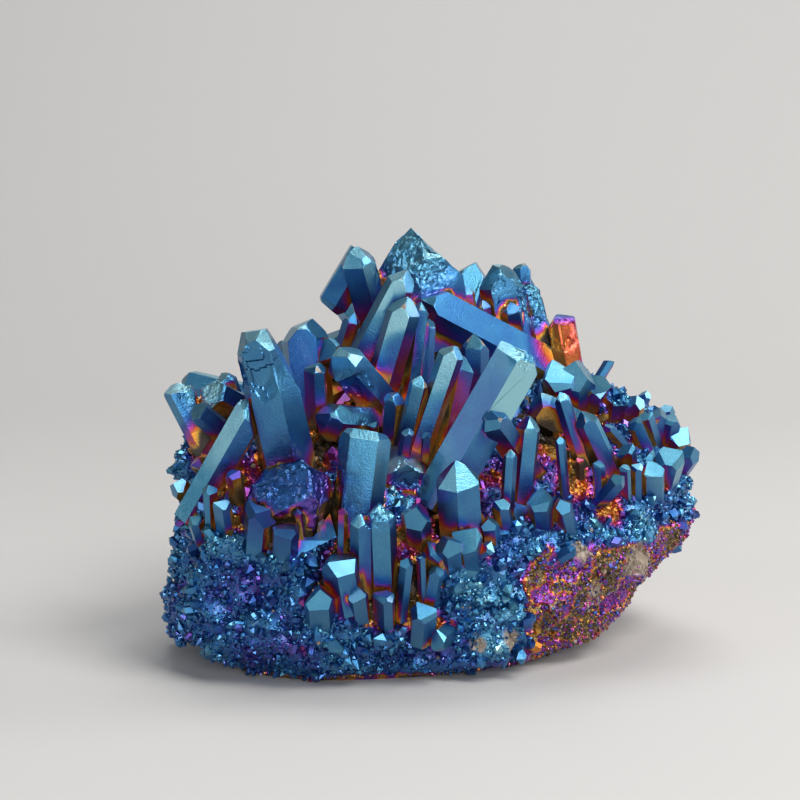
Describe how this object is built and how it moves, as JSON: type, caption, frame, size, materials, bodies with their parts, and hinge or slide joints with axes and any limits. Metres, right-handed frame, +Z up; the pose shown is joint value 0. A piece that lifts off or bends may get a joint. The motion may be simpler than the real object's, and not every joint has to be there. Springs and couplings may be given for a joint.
{
  "type": "aura quartz cluster",
  "caption": "Cluster of hexagonal quartz points standing on a rough druse-covered rock, all coated with an iridescent titanium film, with a flat base to rest on.",
  "frame": {"origin": "middle of the bounding box, on the surface that the rock rests on", "axes": "+X to the right along the longest side, +Y away from the pictured side, +Z up"},
  "size_m": [0.106, 0.0946, 0.0819],
  "materials": {
    "rock": "rough druse of tiny filmed crystals, bare broken quartz below",
    "points": "quartz faces with a glossy iridescent titanium film"
  },
  "bodies": {
    "root": {"back_point_1": "points", "back_point_2": "points", "back_point_3": "points", "bright_front_block": "points", "etched_block": "points", "falling_point": "points", "front_capped_prism": "points", "front_spear": "points", "left_blade": "points", "left_edge_block": "points", "left_rear_point": "points", "left_shoulder_point": "points", "left_slant_prism": "points", "long_diagonal": "points", "right_slim_prism": "points", "right_twin_prism": "points", "rock": "rock", "top_peak": "points", "violet_bar": "points"}
  },
  "joints": []
}
